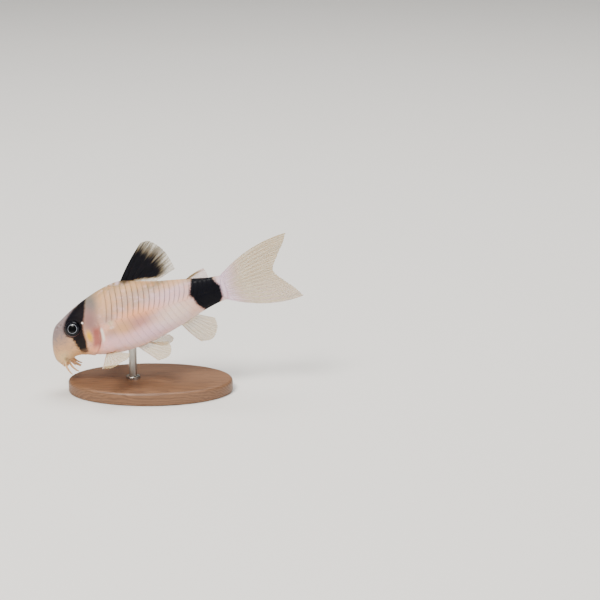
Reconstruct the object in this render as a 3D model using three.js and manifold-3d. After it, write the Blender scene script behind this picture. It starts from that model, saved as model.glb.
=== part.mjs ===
// A life-size display model of a panda corydoras, nose down as it forages, on a plain stand.
// Units are millimetres. The fish is drawn in its own frame and then posed by place():
// s runs along the body axis from near the snout's tip (0) to the tail, y is lateral (the fish's left side
// is -y) and z is dorsal. In the row's frame +Z is up, the snout points to -X, and the origin is
// at the middle of the stand's underside.
import * as THREE from "three";
import { mergeVertices } from "three/addons/utils/BufferGeometryUtils.js";
import Module from "manifold-3d";

const wasm = await Module();
wasm.setup();

// Driving sizes of the fish.
const standardLength = 34.3; // snout to the end of the tail plate
const pitchDegrees = 18; // nose-down tilt of the body axis
const swayStart = 16; // where the tail starts to swing aside
const swayAtTip = 1.4; // how far the tail tip swings, at full length
const totalLength = 48.3;
const cutGap = 0.3; // clearance between neighbouring solids
const headEnd = 9.6;
const tailStart = 26.6;
const eyeRadius = 1.55;
const eyeCentre = { s: 5.38, y: 1.85, z: 1.62 };
const barbelRadius = 0.26;
const finThickness = 0.5;
const rayThickness = 0.66;

// Driving sizes of the stand.
const base = { halfLength: 15.5, halfWidth: 9.5, height: 2.4, bevel: 0.6, segments: 48 };
const rod = { radius: 0.75, s: 14.2, segments: 20 };
const snoutX = -18.5; // row X of the snout's origin
const axisHeight = 9.4; // row Z of the snout's origin

// Body profiles: [s, value] pairs joined by a smooth curve.
const topHeight = profile([
  [-0.3, 1.7], [1.5, 2.7], [3, 3.5], [5.3, 4.65], [8.7, 6.0], [12.7, 7.1],
  [16.4, 7.35], [19.6, 6.2], [22.2, 5.35], [25, 4.65], [29.2, 3.6], [32, 2.85], [34.3, 2.5],
]);
const bottomHeight = profile([
  [-0.3, -5.1], [0.9, -5.3], [1.6, -5.0], [2.4, -4.3], [3.3, -3.9], [4.6, -3.8],
  [6, -4.1], [8.2, -4.6], [10.5, -5.1], [13, -5.45], [17, -5.5], [21, -5.0], [25.5, -4.0], [29.3, -3.0], [32.5, -2.4], [34.3, -2.3],
]);
const halfWidth = profile([
  [0, 2.3], [1.5, 2.6], [3, 3.05], [4.75, 3.45], [7, 3.95], [9.5, 4.4], [12, 4.55],
  [15, 4.4], [18, 3.95], [21, 3.35], [24, 2.7], [27, 2.1], [30, 1.55], [32.5, 1.05], [34.3, 0.65],
]);
const widestHeight = profile([
  [0, -1.9], [5, -1.1], [9.5, -2.0], [15, -2.2], [20, -1.5], [25, -0.7], [30, 0], [34.3, 0.1],
]);
const upperRoundness = profile([[0, 2.1], [5, 2.1], [10, 1.9], [16, 1.75], [22, 1.8], [30, 2], [34.3, 2]]);
const lowerRoundness = profile([
  [0, 2.2], [3, 2.2], [6, 2.5], [10, 3], [16, 3], [22, 2.5], [28, 2.1], [34.3, 2],
]);
const noseStart = -0.3; // foremost point of the snout
const noseLength = 2.4; // the snout rounds off like an ellipse over this length
const noseHeight = -2.9;

// A smooth curve through [x, value] pairs, flat beyond the ends.
function profile(pairs) {
  const slopes = pairs.map((p, i) => {
    const before = pairs[Math.max(i - 1, 0)];
    const after = pairs[Math.min(i + 1, pairs.length - 1)];
    return (after[1] - before[1]) / (after[0] - before[0]);
  });
  return (x) => {
    if (x <= pairs[0][0]) return pairs[0][1];
    const last = pairs.length - 1;
    if (x >= pairs[last][0]) return pairs[last][1];
    const i = pairs.findIndex((p) => p[0] > x) - 1;
    const span = pairs[i + 1][0] - pairs[i][0];
    const t = (x - pairs[i][0]) / span;
    const t2 = t * t;
    const t3 = t2 * t;
    return (
      (2 * t3 - 3 * t2 + 1) * pairs[i][1] +
      (t3 - 2 * t2 + t) * span * slopes[i] +
      (3 * t2 - 2 * t3) * pairs[i + 1][1] +
      (t3 - t2) * span * slopes[i + 1]
    );
  };
}

// Poses a point of the fish's frame: the tail's swing, the nose-down tilt, and its place on the stand.
function place([s, y, z]) {
  const angle = THREE.MathUtils.degToRad(pitchDegrees);
  const past = Math.max(0, (s - swayStart) / (totalLength - swayStart));
  return [
    snoutX + s * Math.cos(angle) - z * Math.sin(angle),
    y + swayAtTip * past * past,
    axisHeight + s * Math.sin(angle) + z * Math.cos(angle),
  ];
}

// How far the rounded snout has opened at s, from 0 at its foremost point to 1.
function noseOpening(s) {
  const left = 1 - Math.min(Math.max(s - noseStart, 0) / noseLength, 1);
  return Math.sqrt(1 - left * left);
}

// A point on the body's surface at angle phi round its section, moved out by grow.
function skinPoint(s, phi, grow = 0) {
  const open = noseOpening(s);
  const middle = noseHeight + (widestHeight(s) - noseHeight) * open;
  const up = Math.sin(phi) >= 0;
  const edge = up ? topHeight(s) : bottomHeight(s);
  const reach = Math.abs(noseHeight + (edge - noseHeight) * open - middle) + grow;
  const power = 2 / (up ? upperRoundness(s) : lowerRoundness(s));
  const across = (halfWidth(s) * open + grow) * Math.abs(Math.cos(phi)) ** power;
  return [
    s,
    Math.sign(Math.cos(phi)) * across,
    middle + (up ? 1 : -1) * reach * Math.abs(Math.sin(phi)) ** power,
  ];
}

// A closed mesh through rings of points, each ring listed the same way round, ends capped.
function loft(rings) {
  const count = rings[0].length;
  const vertices = rings.flat(2);
  const triangles = [];
  for (let r = 0; r + 1 < rings.length; r++) {
    for (let i = 0; i < count; i++) {
      const j = (i + 1) % count;
      const [a, b, c, d] = [r * count + i, r * count + j, (r + 1) * count + j, (r + 1) * count + i];
      triangles.push(a, d, c, a, c, b);
    }
  }
  const capAt = (first, flip) => {
    const centre = vertices.length / 3;
    const middle = [0, 1, 2].map((axis) => {
      let sum = 0;
      for (let i = 0; i < count; i++) sum += vertices[(first + i) * 3 + axis];
      return sum / count;
    });
    vertices.push(...middle);
    for (let i = 0; i < count; i++) {
      const [a, b] = [first + i, first + ((i + 1) % count)];
      triangles.push(...(flip ? [centre, b, a] : [centre, a, b]));
    }
  };
  capAt(0, false);
  capAt((rings.length - 1) * count, true);
  return solidFrom(vertices, triangles);
}

function solidFrom(vertices, triangles) {
  const geometry = new THREE.BufferGeometry();
  geometry.setAttribute("position", new THREE.Float32BufferAttribute(vertices, 3));
  geometry.setIndex(triangles);
  return solidOf(geometry);
}

function solidOf(geometry) {
  const bare = geometry.clone();
  bare.deleteAttribute("normal");
  bare.deleteAttribute("uv");
  const merged = mergeVertices(bare, 1e-4);
  const solid = new wasm.Manifold(
    new wasm.Mesh({
      numProp: 3,
      vertProperties: merged.attributes.position.array,
      triVerts: new Uint32Array(merged.index.array),
    }),
  );
  if (solid.volume() > 0) return solid;
  const turned = Uint32Array.from(merged.index.array);
  for (let i = 0; i < turned.length; i += 3) {
    [turned[i + 1], turned[i + 2]] = [turned[i + 2], turned[i + 1]];
  }
  return new wasm.Manifold(
    new wasm.Mesh({ numProp: 3, vertProperties: merged.attributes.position.array, triVerts: turned }),
  );
}

// A length of the body from one station to another.
function bodyLength(from, to, stations, around, grow = 0) {
  const rings = [];
  for (let i = 0; i <= stations; i++) {
    const t = i / stations;
    const eased = from < 0 ? t * t * (1.6 - 0.6 * t) : t; // close stations at the blunt snout
    const s = from + (to - from) * eased;
    rings.push(
      Array.from({ length: around }, (_, k) => skinPoint(s, (2 * Math.PI * (k + 0.5)) / around, grow)),
    );
  }
  return loft(rings);
}

// A sheet with ribs along its rays. ray(u) gives the root, tip and bow of the ray at
// share u of the fan, and side is the sheet's own normal. Rays are thicker than the web between.
function finSheet({ rays, steps, ray, side }) {
  const columns = 2 * (rays - 1);
  const point = (i, j, face) => {
    const u = i / columns;
    const v = j / steps;
    const { root, tip, bow = [0, 0, 0] } = ray(u);
    const notch = i % 2 ? 0.975 : 1; // the web ends a little short of the ray tips
    const along = v * notch;
    const half = ((i % 2 ? finThickness : rayThickness) / 2) * (v === 1 ? 0.85 : 1);
    return root.map(
      (a, k) => a + (tip[k] - a) * along + bow[k] * 4 * along * (1 - along) + side[k] * half * face,
    );
  };
  const vertices = [];
  const at = new Map();
  for (const face of [-1, 1]) {
    for (let i = 0; i <= columns; i++) {
      for (let j = 0; j <= steps; j++) {
        at.set(`${face},${i},${j}`, vertices.length / 3);
        vertices.push(...point(i, j, face));
      }
    }
  }
  const triangles = [];
  const quad = (a, b, c, d) => triangles.push(a, b, c, a, c, d);
  const index = (face, i, j) => at.get(`${face},${i},${j}`);
  for (let i = 0; i < columns; i++) {
    for (let j = 0; j < steps; j++) {
      quad(index(1, i, j), index(1, i + 1, j), index(1, i + 1, j + 1), index(1, i, j + 1));
      quad(index(-1, i, j), index(-1, i, j + 1), index(-1, i + 1, j + 1), index(-1, i + 1, j));
    }
    quad(index(-1, i, 0), index(-1, i + 1, 0), index(1, i + 1, 0), index(1, i, 0));
    quad(index(1, i, steps), index(1, i + 1, steps), index(-1, i + 1, steps), index(-1, i, steps));
  }
  for (let j = 0; j < steps; j++) {
    quad(index(-1, 0, j), index(1, 0, j), index(1, 0, j + 1), index(-1, 0, j + 1));
    quad(index(-1, columns, j), index(-1, columns, j + 1), index(1, columns, j + 1), index(1, columns, j));
  }
  return solidFrom(vertices, triangles);
}

const degrees = THREE.MathUtils.degToRad;
const across = [0, 1, 0];

// A ray of a median fin, from its root in the body at an angle above the axis.
function medianRay(rootS, rootZ, angleDegrees, length, bow = 0) {
  const angle = degrees(angleDegrees);
  const [c, d] = [Math.cos(angle), Math.sin(angle)];
  return {
    root: [rootS, 0, rootZ],
    tip: [rootS + length * c, 0, rootZ + length * d],
    bow: [-bow * d, 0, bow * c],
  };
}

// Fans of the median fins: a share u from the first ray to the last gives each ray's sizes.
const dorsalAngle = profile([[0, 44.5], [0.15, 42.5], [0.43, 34], [0.71, 25.5], [1, 15]]);
const dorsalLength = profile([[0, 9.3], [0.15, 9.9], [0.43, 9.1], [0.71, 7.4], [1, 5.5]]);
const dorsalFan = (u) =>
  medianRay(15.6 + 5.8 * u, 6.5 - 1.6 * u, dorsalAngle(u), dorsalLength(u), 0.28 * (1 - u));

const caudalTipS = profile([[0, 48.3], [0.15, 47.2], [0.3, 45.7], [0.5, 43.9], [0.7, 45.3], [0.85, 46.8], [1, 47.8]]);
const caudalTipZ = profile([[0, 6.25], [0.15, 4.6], [0.3, 2.9], [0.5, 0.3], [0.7, -2.3], [0.85, -4.4], [1, -6.3]]);
const caudalFan = (u) => ({
  root: [33.6, 0, 2.1 - 4.1 * u],
  tip: [caudalTipS(u), 0, caudalTipZ(u)],
  bow: [0, 0, 1.25 * (1 - 2 * u) * Math.abs(1 - 2 * u) ** 0.5],
});

const adiposeFan = (u) => medianRay(27.2 + 3.2 * u, 3.4 - 0.8 * u, 17 - 6 * u, 4.8 - 3.0 * u, 0.25 * (1 - u));

const analAngle = profile([[0, -62], [0.5, -48], [1, -30]]);
const analLength = profile([[0, 5.6], [0.3, 6.6], [0.7, 5.8], [1, 4.2]]);
const analFan = (u) => medianRay(24.2 + 2.9 * u, -3.6 + 0.75 * u, analAngle(u), analLength(u), -0.2 * (1 - u));

// A fan between two directions, for the paired fins. hand is -1 on the fish's left.
function pairedFan({ root, rootRun, first, last, lengths }, hand) {
  const from = new THREE.Vector3(first[0], hand * first[1], first[2]).normalize();
  const to = new THREE.Vector3(last[0], hand * last[1], last[2]).normalize();
  const lengthAt = profile(lengths);
  const side = new THREE.Vector3().crossVectors(from, to).normalize();
  return {
    side: side.toArray(),
    ray: (u) => {
      const direction = from.clone().lerp(to, u).normalize();
      const start = [root[0] + rootRun * u, hand * root[1], root[2] + 0.1 * rootRun * u];
      return { root: start, tip: start.map((a, k) => a + direction.toArray()[k] * lengthAt(u)) };
    },
  };
}
const pectoral = {
  root: [9.9, 3.4, -4.35],
  rootRun: 1.1,
  first: [-0.06, 0.98, -0.1],
  last: [0.74, 0.62, -0.16],
  lengths: [[0, 7.0], [0.2, 7.3], [0.6, 6.2], [1, 4.6]],
};
const pelvic = {
  root: [15.3, 1.9, -4.9],
  rootRun: 1.3,
  first: [0.62, 0.5, -0.6],
  last: [0.93, 0.08, -0.24],
  lengths: [[0, 5.6], [0.35, 6.5], [0.7, 6.0], [1, 4.8]],
};

// Barbels: where each leaves the lips, and where it ends, on the +y side.
const barbels = {
  upper: { root: [1.6, 1.6, -3.6], middle: [1.4, 2.7, -5.1], end: [2.3, 2.8, -6.5] },
  lower: { root: [2.1, 1.05, -4.1], middle: [2.3, 1.6, -5.6], end: [3.4, 1.6, -6.6] },
  chin: { root: [2.7, 0.5, -3.9], middle: [3.0, 0.6, -5.1], end: [4.1, 0.7, -5.8] },
};

function barbelSolid({ root, middle, end }, hand) {
  const turn = ([s, y, z]) => new THREE.Vector3(s, hand * y, z);
  const curve = new THREE.QuadraticBezierCurve3(turn(root), turn(middle), turn(end));
  const steps = 10;
  const sides = 8;
  const rings = [];
  for (let i = 0; i <= steps; i++) {
    const centre = curve.getPoint(i / steps);
    const tangent = curve.getTangent(i / steps);
    const level = new THREE.Vector3().crossVectors(tangent, new THREE.Vector3(1, 0, 0)).normalize();
    const upright = new THREE.Vector3().crossVectors(tangent, level);
    const radius = barbelRadius * (i === steps ? 0.6 : 1);
    rings.push(
      Array.from({ length: sides }, (_, k) => {
        const angle = (2 * Math.PI * k) / sides;
        return centre
          .clone()
          .addScaledVector(level, radius * Math.cos(angle))
          .addScaledVector(upright, radius * Math.sin(angle))
          .toArray();
      }),
    );
  }
  return loft(rings);
}

function eyeball(hand, grow = 0) {
  const ball = new THREE.SphereGeometry(eyeRadius + grow, 22, 14);
  ball.rotateX(Math.PI / 2);
  ball.translate(eyeCentre.s, hand * eyeCentre.y, eyeCentre.z);
  return solidOf(ball);
}

// The stand is drawn straight in the row's frame.
function standBase() {
  const outline = [
    [0, 0], [1 - base.bevel / base.halfLength / 2, 0], [1, base.bevel / 2],
    [1, base.height - base.bevel], [1 - base.bevel / base.halfLength, base.height], [0, base.height],
  ].map(([radius, height]) => new THREE.Vector2(radius, height));
  const disc = new THREE.LatheGeometry(outline, base.segments);
  disc.rotateX(Math.PI / 2);
  disc.scale(base.halfLength, base.halfWidth, 1);
  return solidOf(disc);
}

function standRod(keepClear) {
  const foot = place([rod.s, 0, bottomHeight(rod.s)]);
  const top = foot[2] + 1.5;
  const length = top - base.height - cutGap / 3;
  const cylinder = new THREE.CylinderGeometry(rod.radius, rod.radius, length, rod.segments);
  cylinder.rotateX(Math.PI / 2);
  cylinder.translate(foot[0], 0, base.height + cutGap / 3 + length / 2);
  return solidOf(cylinder).subtract(keepClear);
}

// A three.js mesh from a solid, posed by place() unless it is already in the row's frame.
function meshOf(name, solid, look, posed = true) {
  const { vertProperties, triVerts } = solid.getMesh();
  const positions = [];
  for (let i = 0; i < vertProperties.length; i += 3) {
    const point = [vertProperties[i], vertProperties[i + 1], vertProperties[i + 2]];
    positions.push(...(posed ? place(point) : point));
  }
  const geometry = new THREE.BufferGeometry();
  geometry.setAttribute("position", new THREE.Float32BufferAttribute(positions, 3));
  geometry.setIndex(new THREE.BufferAttribute(triVerts, 1));
  const mesh = new THREE.Mesh(geometry, new THREE.MeshStandardMaterial(look));
  mesh.name = name;
  return mesh;
}

const looks = {
  skin: { color: 0xc9b5a2, roughness: 0.4, metalness: 0 },
  eye: { color: 0x0c0b0e, roughness: 0.08, metalness: 0 },
  darkFin: { color: 0x1a181c, roughness: 0.5, metalness: 0 },
  clearFin: { color: 0xcbbfa4, roughness: 0.4, metalness: 0 },
  wood: { color: 0xb58a5c, roughness: 0.5, metalness: 0 },
  steel: { color: 0xb9b7b2, roughness: 0.3, metalness: 1 },
};

const fish = new THREE.Group();
const add = (...parts) => fish.add(meshOf(...parts));
const around = 28;
const snoutStart = noseStart + 0.01;
const wholeGrown = bodyLength(snoutStart, standardLength + cutGap, 40, around, cutGap);

// The body, parted by thin cuts behind the gill covers and before the tail.
let head = bodyLength(snoutStart, headEnd, 14, around);
for (const hand of [-1, 1]) head = head.subtract(eyeball(hand, cutGap * 0.8));
add("head", head, looks.skin);
add("trunk", bodyLength(headEnd + cutGap / 2, tailStart, 14, around), looks.skin);
add("caudal_peduncle", bodyLength(tailStart + cutGap / 2, standardLength, 8, around), looks.skin);

// The fins on the midline.
const medianFins = {
  dorsal_fin: { rays: 8, steps: 6, ray: dorsalFan, look: looks.darkFin },
  adipose_fin: { rays: 4, steps: 4, ray: adiposeFan, look: looks.clearFin },
  caudal_fin: { rays: 16, steps: 7, ray: caudalFan, look: looks.clearFin },
  anal_fin: { rays: 7, steps: 5, ray: analFan, look: looks.clearFin },
};
for (const [name, { rays, steps, ray, look }] of Object.entries(medianFins)) {
  add(name, finSheet({ rays, steps, ray, side: across }).subtract(wholeGrown), look);
}

// The paired parts, made for each side by a loop.
for (const [suffix, hand] of [["left", -1], ["right", 1]]) {
  add(`eye_${suffix}`, eyeball(hand), looks.eye);
  const pectoralSheet = finSheet({ rays: 8, steps: 5, ...pairedFan(pectoral, hand) });
  add(`pectoral_fin_${suffix}`, pectoralSheet.subtract(wholeGrown), looks.clearFin);
  const pelvicSheet = finSheet({ rays: 6, steps: 5, ...pairedFan(pelvic, hand) });
  add(`pelvic_fin_${suffix}`, pelvicSheet.subtract(wholeGrown), looks.clearFin);
  for (const [kind, course] of Object.entries(barbels)) {
    add(`barbel_${kind}_${suffix}`, barbelSolid(course, hand).subtract(wholeGrown), looks.skin);
  }
}

// The stand: a flat oval base and one short rod up to the belly.
const posedGrown = solidOf(meshOf("keep_clear", wholeGrown, looks.skin).geometry);
add("stand_base", standBase(), looks.wood, false);
add("stand_rod", standRod(posedGrown), looks.steel, false);

export default fish;
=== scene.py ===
import math

import bpy
import numpy as np
from bpy.props import FloatProperty, FloatVectorProperty, IntProperty, PointerProperty
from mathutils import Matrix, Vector


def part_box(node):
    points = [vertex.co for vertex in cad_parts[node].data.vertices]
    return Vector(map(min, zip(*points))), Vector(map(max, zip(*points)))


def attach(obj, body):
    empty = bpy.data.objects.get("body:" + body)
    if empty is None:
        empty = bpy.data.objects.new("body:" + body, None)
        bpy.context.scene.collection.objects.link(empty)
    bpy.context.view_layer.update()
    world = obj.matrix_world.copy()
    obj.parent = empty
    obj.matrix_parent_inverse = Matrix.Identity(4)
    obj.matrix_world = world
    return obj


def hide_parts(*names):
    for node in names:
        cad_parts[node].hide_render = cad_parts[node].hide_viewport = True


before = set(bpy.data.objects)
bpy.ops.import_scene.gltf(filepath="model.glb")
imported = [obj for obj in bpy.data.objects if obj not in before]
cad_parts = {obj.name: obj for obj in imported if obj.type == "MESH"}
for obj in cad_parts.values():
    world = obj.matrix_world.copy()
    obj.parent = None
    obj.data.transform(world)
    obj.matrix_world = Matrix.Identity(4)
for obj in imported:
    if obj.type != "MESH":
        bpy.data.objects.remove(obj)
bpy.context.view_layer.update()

bl_info = {
    "name": "Panda Corydoras Display Model",
    "version": (1, 0, 0),
    "blender": (4, 5, 0),
    "location": "3D View > Sidebar > Corydoras",
    "description": "A life-size corydoras catfish on a plain stand",
    "category": "Object",
}

# The fish is drawn in its own frame in millimetres: s runs from the snout to the tail, y is
# lateral with the fish's left side at -y, and z is dorsal. place() poses it in the row frame.
MM = 0.001
PITCH = math.radians(18)
SNOUT_X = -18.5
AXIS_HEIGHT = 9.4
SWAY_START = 16.0
SWAY_AT_TIP = 1.4
TOTAL_LENGTH = 48.3
BODY_LENGTH = 34.3
NOSE_START = -0.3
NOSE_LENGTH = 2.4
NOSE_HEIGHT = -2.9
SKIN_END = 33.3
PLATES_FROM = {"upper": 12.0, "lower": 12.4}
PLATES_TO = {"upper": 34.2, "lower": 34.6}
EYE_CENTRE = (5.33, 2.41, 1.81)
EYE_AXIS = (0.0, 0.943, 0.331)
EYE_DEPTH = 1.02


def curve(*pairs):
    """A smooth function through (x, value) pairs, flat beyond the ends."""
    xs, values = np.array(pairs, float).T
    slopes = np.empty_like(xs)
    slopes[1:-1] = (values[2:] - values[:-2]) / (xs[2:] - xs[:-2])
    slopes[0] = (values[1] - values[0]) / (xs[1] - xs[0])
    slopes[-1] = (values[-1] - values[-2]) / (xs[-1] - xs[-2])

    def at(x):
        x = np.clip(x, xs[0], xs[-1])
        i = np.clip(np.searchsorted(xs, x, "right") - 1, 0, len(xs) - 2)
        span = xs[i + 1] - xs[i]
        t = (x - xs[i]) / span
        start = (2 * t - 3) * t * t + 1
        leaving = ((t - 2) * t + 1) * t * span
        arriving = (t - 1) * t * t * span
        between = start * values[i] + (1 - start) * values[i + 1]
        return between + leaving * slopes[i] + arriving * slopes[i + 1]

    return at


TOP = curve(
    (-0.3, 1.7), (1.5, 2.7), (3, 3.5), (5.3, 4.65), (8.7, 6.0), (12.7, 7.1), (16.4, 7.35),
    (19.6, 6.2), (22.2, 5.35), (25, 4.65), (29.2, 3.6), (32, 2.85), (34.3, 2.5),
)
BOTTOM = curve(
    (-0.3, -5.1), (0.9, -5.3), (1.6, -5.0), (2.4, -4.3), (3.3, -3.9), (4.6, -3.8), (6, -4.1), (8.2, -4.6),
    (10.5, -5.1), (13, -5.45), (17, -5.5), (21, -5.0), (25.5, -4.0), (29.3, -3.0), (32.5, -2.4), (34.3, -2.3),
)
HALF_WIDTH = curve(
    (0, 2.3), (1.5, 2.6), (3, 3.05), (4.75, 3.45), (7, 3.95), (9.5, 4.4), (12, 4.55), (15, 4.4),
    (18, 3.95), (21, 3.35), (24, 2.7), (27, 2.1), (30, 1.55), (32.5, 1.05), (34.3, 0.65),
)
WIDEST = curve((0, -1.9), (5, -1.1), (9.5, -2.0), (15, -2.2), (20, -1.5), (25, -0.7), (30, 0), (34.3, 0.1))
UPPER_ROUNDNESS = curve((0, 2.1), (5, 2.1), (10, 1.9), (16, 1.75), (22, 1.8), (30, 2), (34.3, 2))
LOWER_ROUNDNESS = curve((0, 2.2), (3, 2.2), (6, 2.5), (10, 3), (16, 3), (22, 2.5), (28, 2.1), (34.3, 2))
LATERAL_LINE = curve((8, 1.7), (15, 1.35), (20, 1.1), (25, 0.7), (34.3, 0.1))

# Each barbel's root, bend and tip, with y counted outwards.
BARBEL_PATHS = {
    "upper": ((1.6, 1.6, -3.6), (1.4, 2.7, -5.1), (2.3, 2.8, -6.45)),
    "lower": ((2.1, 1.05, -4.1), (2.3, 1.6, -5.6), (3.4, 1.6, -6.55)),
    "chin": ((2.7, 0.5, -3.9), (3.0, 0.6, -5.1), (4.05, 0.7, -5.75)),
}

# Oval tints of the head and flank: a colour, its centre in s and z, its radii, and how strong it is.
TINTS = (
    ("nape", (12.6, 4.9), (2.4, 1.7), 0.75),
    ("haze", (9.8, 5.2), (1.4, 1.6), 0.85),
    ("peach", (8.4, -2.7), (1.2, 0.7), 0.6),
    ("nape_pale", (1.9, -3.1), (1.7, 1.2), 0.4),
    ("peach", (18.6, 1.2), (4.6, 1.1), 0.9),
    ("mauve", (17.0, -0.4), (4.0, 1.1), 0.75),
    ("nape", (14.3, -0.4), (1.9, 1.2), 0.8),
    ("haze", (12.3, 1.9), (1.3, 0.7), 0.4),
    ("haze", (11.9, -0.9), (1.1, 0.9), 0.35),
    ("lilac", (19.5, -2.9), (5.0, 1.3), 0.85),
    ("lilac", (24.5, 2.3), (4.2, 1.5), 0.6),
    ("white", (24.6, -1.4), (3.8, 1.9), 0.55),
    ("gill_shade", (8.9, 2.5), (1.5, 2.1), 0.9),
    ("lilac", (12.0, -2.6), (2.6, 1.4), 0.6),
    ("nape", (19.5, 6.0), (4.6, 0.8), 0.8),
    ("nape", (25.5, 4.1), (3.0, 0.6), 0.6),
)

# Middle lines and edges of the markings, as (z, s) pairs from low to high.
GILL_FLUSH = ((-2.4, 8.75), (-0.7, 9.32), (0.9, 9.8))
GILL_EDGE = ((-2.24, 9.9), (-1.44, 10.47), (-0.47, 10.58), (0.74, 10.66))
MASK_FRONT = (
    (-3.0, 6.0), (-2.6, 5.74), (-1.87, 5.43), (-0.74, 5.13), (0.3, 4.9), (0.9, 4.1), (1.8, 3.7),
    (2.5, 3.76), (3.4, 4.37), (4.2, 5.28), (4.9, 6.31), (5.6, 7.6),
)
MASK_REAR = (
    (-3.0, 6.6), (-1.8, 6.7), (-0.7, 6.96), (1.27, 7.0), (2.12, 7.2), (3.1, 7.65), (4.0, 8.08),
    (4.9, 8.42), (6.3, 8.8),
)
TAIL_SPOT_FRONT = ((-2.9, 29.7), (-1.1, 28.6), (1.2, 27.75), (3.6, 28.9))
TAIL_SPOT_REAR = ((-2.2, 32.9), (-1.4, 33.6), (0.8, 33.9), (2.4, 32.9))

# What the skin and the plates share in their shaders.
FLESH = {
    "Specular IOR Level": 0.1,
    "Coat Weight": 0.04,
    "Coat Roughness": 0.12,
    "Subsurface Weight": 0.22,
    "Subsurface Radius": (1.0, 0.55, 0.4),
    "Subsurface Scale": 0.0007,
}


def smooth(low, high, x):
    """0 below low, 1 above high, with an eased step between them."""
    t = np.clip((x - low) / (high - low), 0, 1)
    return t * t * (3 - 2 * t)


def bump(centre, width, x):
    """A bell of height 1 round centre."""
    return np.exp(-(((x - centre) / width) ** 2))


def place(points):
    """Poses points of the fish's frame, in mm, and returns them in the row frame in metres."""
    s, y, z = np.moveaxis(np.asarray(points, float), -1, 0)
    past = np.maximum(0, (s - SWAY_START) / (TOTAL_LENGTH - SWAY_START))
    return MM * np.stack([
        SNOUT_X + s * math.cos(PITCH) - z * math.sin(PITCH),
        y + SWAY_AT_TIP * past * past,
        AXIS_HEIGHT + s * math.sin(PITCH) + z * math.cos(PITCH),
    ], axis=-1)


def nose_opening(s):
    left = 1 - np.clip((s - NOSE_START) / NOSE_LENGTH, 0, 1)
    return np.sqrt(1 - left * left)


def section_middle(s):
    return NOSE_HEIGHT + (WIDEST(s) - NOSE_HEIGHT) * nose_opening(s)


def skin_point(s, phi, grow=0.0):
    """A point of the body's smooth form at angle phi round its section, moved out by grow."""
    s, phi = np.broadcast_arrays(np.asarray(s, float), np.asarray(phi, float))
    opening = nose_opening(s)
    middle = section_middle(s)
    upper = np.sin(phi) >= 0
    edge = np.where(upper, TOP(s), BOTTOM(s))
    reach = np.abs(NOSE_HEIGHT + (edge - NOSE_HEIGHT) * opening - middle) + grow
    power = 2 / np.where(upper, UPPER_ROUNDNESS(s), LOWER_ROUNDNESS(s))
    across = (HALF_WIDTH(s) * opening + grow) * np.abs(np.cos(phi)) ** power
    height = reach * np.abs(np.sin(phi)) ** power
    return np.stack([s, np.sign(np.cos(phi)) * across, middle + np.where(upper, height, -height)], axis=-1)


def lateral_angle(s):
    """The angle round the section at which the two rows of plates meet."""
    middle = section_middle(s)
    share = np.clip((LATERAL_LINE(s) - middle) / (TOP(s) - middle), 0, 1)
    return np.arcsin(share ** (UPPER_ROUNDNESS(s) / 2))


def unit(vector):
    vector = np.asarray(vector, float)
    return vector / np.linalg.norm(vector, axis=-1, keepdims=True)


def grid_quads(rows, columns, start=0, wrap=False):
    """Quads of a grid of points, row by row. wrap joins the last column to the first."""
    row, column = np.meshgrid(np.arange(rows - 1), np.arange(columns if wrap else columns - 1), indexing="ij")
    after = (column + 1) % columns
    near, far = row * columns, (row + 1) * columns
    return start + np.stack([near + column, near + after, far + after, far + column], axis=-1).reshape(-1, 4)


def make_piece(name, vertices, faces, material, slot, replaces, uvs=None, attributes=None):
    """A smooth mesh of the object, in the row frame. uvs maps a name to one pair for each corner."""
    mesh = bpy.data.meshes.new(name)
    mesh.from_pydata(np.asarray(vertices).tolist(), [], [list(map(int, face)) for face in faces])
    for uv_name, pairs in (uvs or {}).items():
        layer = mesh.uv_layers.new(name=uv_name)
        layer.data.foreach_set("uv", np.asarray(pairs, np.float32).ravel())
    for attribute_name, values in (attributes or {}).items():
        attribute = mesh.attributes.new(attribute_name, "FLOAT", "POINT")
        attribute.data.foreach_set("value", np.asarray(values, np.float32).ravel())
    mesh.validate()
    mesh.shade_smooth()
    mesh.materials.append(material)
    piece = bpy.data.objects.new(name, mesh)
    bpy.context.collection.objects.link(piece)
    if slot:
        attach(piece, "root")
    if replaces:
        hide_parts(*replaces)
    return piece


def outward(vertices, faces):
    """The faces turned so that a closed mesh has its normals outside."""
    points = np.asarray(vertices)[np.asarray(faces)]
    fan = np.cross(points[:, 1] - points[:, 0], points[:, 2] - points[:, 0])
    fan += np.cross(points[:, 2] - points[:, 0], points[:, 3] - points[:, 0])
    volume = np.einsum("ij,ij->", points[:, 0] - np.mean(vertices, axis=0), fan)
    return faces if volume > 0 else faces[:, ::-1]


def slab(outer, inner):
    """Vertices and quads of a thick sheet between two grids, and how many quads are on the outer one."""
    rows, columns = outer.shape[:2]
    count = rows * columns
    vertices = np.concatenate([outer.reshape(-1, 3), inner.reshape(-1, 3)])
    face = grid_quads(rows, columns)
    back = face[:, ::-1] + count
    index = np.arange(count).reshape(rows, columns)
    loop = np.concatenate([index[0, :-1], index[:-1, -1], index[-1, :0:-1], index[:0:-1, 0]])
    after = np.roll(loop, -1)
    rim = np.stack([after, loop, loop + count, after + count], axis=-1)
    faces = np.concatenate([face, back, rim])
    return vertices, outward(vertices, faces), len(face)


# Materials.


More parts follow.
